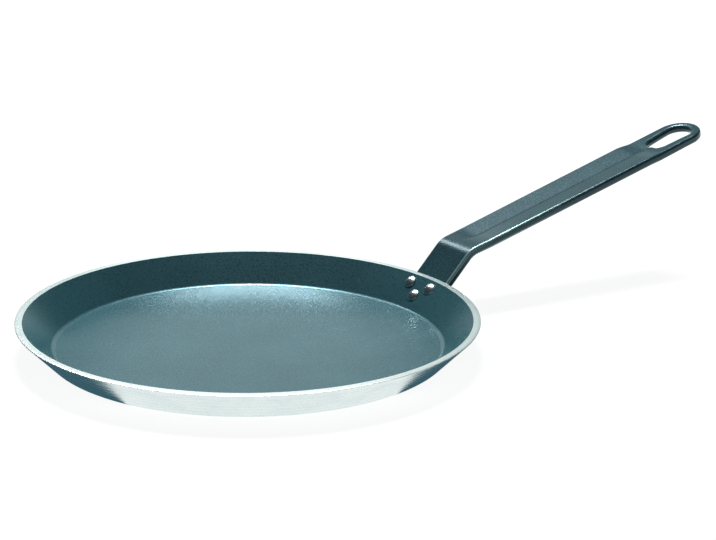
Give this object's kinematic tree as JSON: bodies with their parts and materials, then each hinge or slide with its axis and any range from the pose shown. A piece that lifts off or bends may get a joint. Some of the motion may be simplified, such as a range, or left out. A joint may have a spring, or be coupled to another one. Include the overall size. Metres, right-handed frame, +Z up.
{
  "type": "crepe pan",
  "caption": "Shallow round pan with a flared wall, a dark non-stick lining and a long riveted strip-steel handle that ends in a hanging loop.",
  "frame": {"origin": "centre of the pan's flat underside", "axes": "+Z up out of the pan, +X along the handle towards its hanging loop, +Y across the handle"},
  "size_m": [0.5403, 0.3, 0.0952],
  "materials": {
    "bare_aluminium": "fine turned satin",
    "nonstick_lining": "satin, dark blue-grey",
    "handle_coating": "fine textured satin",
    "rivet_metal": "satin"
  },
  "bodies": {
    "root": {"pan_body": "bare_aluminium", "lining": "nonstick_lining", "handle": "handle_coating", "rivet_left": "rivet_metal", "rivet_right": "rivet_metal", "rivet_lower": "rivet_metal"}
  },
  "joints": []
}
